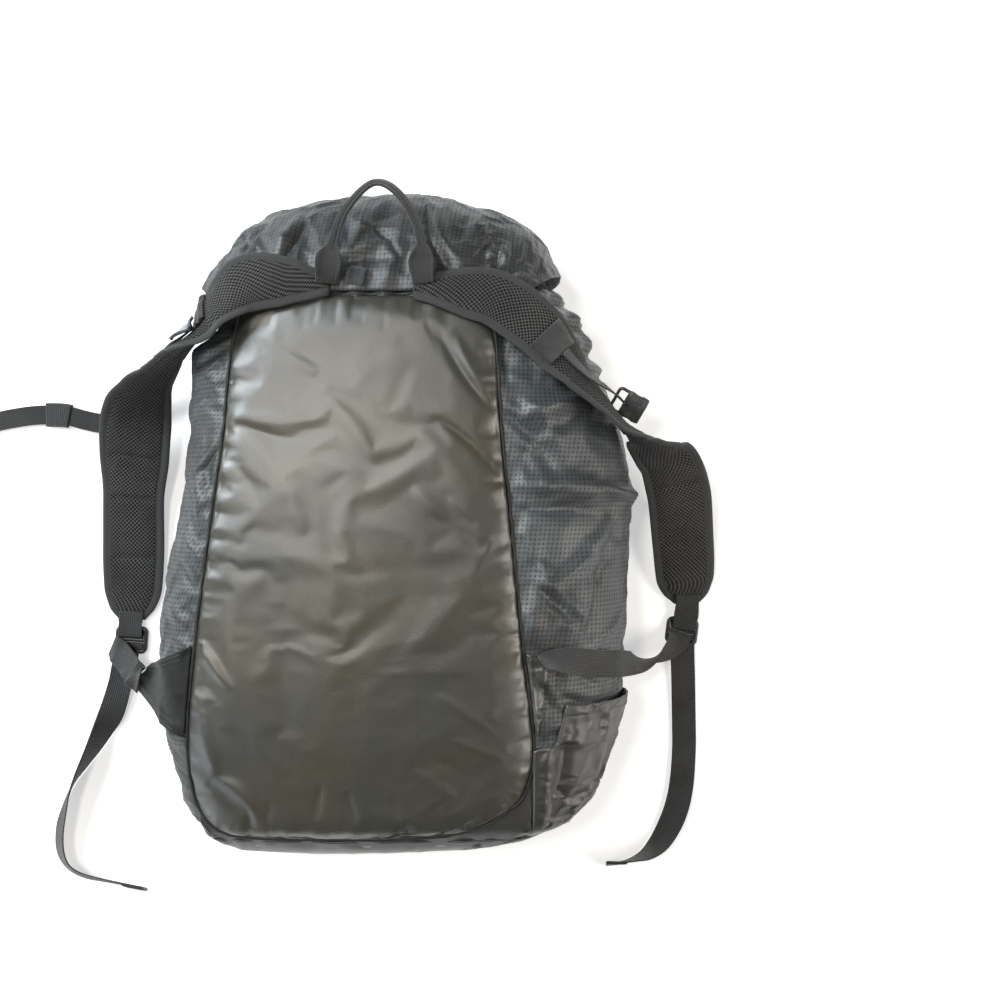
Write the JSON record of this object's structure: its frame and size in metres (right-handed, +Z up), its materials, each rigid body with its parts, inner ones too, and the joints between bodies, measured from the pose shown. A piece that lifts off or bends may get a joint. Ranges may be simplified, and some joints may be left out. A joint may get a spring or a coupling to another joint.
{
  "type": "lightweight backpack",
  "caption": "Light ripstop backpack lying on its front, back panel up, with padded shoulder straps, webbing, lid and side pocket.",
  "frame": {"origin": "on the flat front panel where it rests on the floor, below the middle of the back panel's length", "axes": "+Z up from the floor through the back panel, +Y towards the top lid and grab handle, +X towards the side with the pocket"},
  "size_m": [0.7921, 0.7111, 0.1511],
  "materials": {
    "ripstop": "satin ripstop",
    "smooth_nylon": "satin nylon",
    "spacer_mesh": "matt mesh",
    "webbing": "ribbed webbing",
    "buckle_plastic": "satin",
    "tab_cloth": "matt"
  },
  "bodies": {
    "root": {"bag_body": "ripstop", "top_lid": "ripstop", "bottom_panel": "smooth_nylon", "back_panel": "smooth_nylon", "panel_piping": "smooth_nylon", "side_pocket_right": "smooth_nylon", "wing_left": "smooth_nylon", "wing_right": "smooth_nylon", "strap_left": "spacer_mesh", "strap_right": "spacer_mesh", "strap_keeper_left": "webbing", "strap_keeper_right": "webbing", "strap_rail_left": "webbing", "strap_rail_right": "webbing", "sternum_webbing": "webbing", "sternum_keeper": "webbing", "pad_webbing_left": "webbing", "pad_webbing_right": "webbing", "lower_webbing_left": "webbing", "lower_webbing_right": "webbing", "webbing_tail_left": "webbing", "webbing_tail_right": "webbing", "grab_handle": "webbing", "sternum_slider_left": "buckle_plastic", "sternum_buckle_right": "buckle_plastic", "sternum_clip": "buckle_plastic", "ladder_lock_left": "buckle_plastic", "ladder_lock_right": "buckle_plastic", "hang_tab": "tab_cloth"}
  },
  "joints": []
}
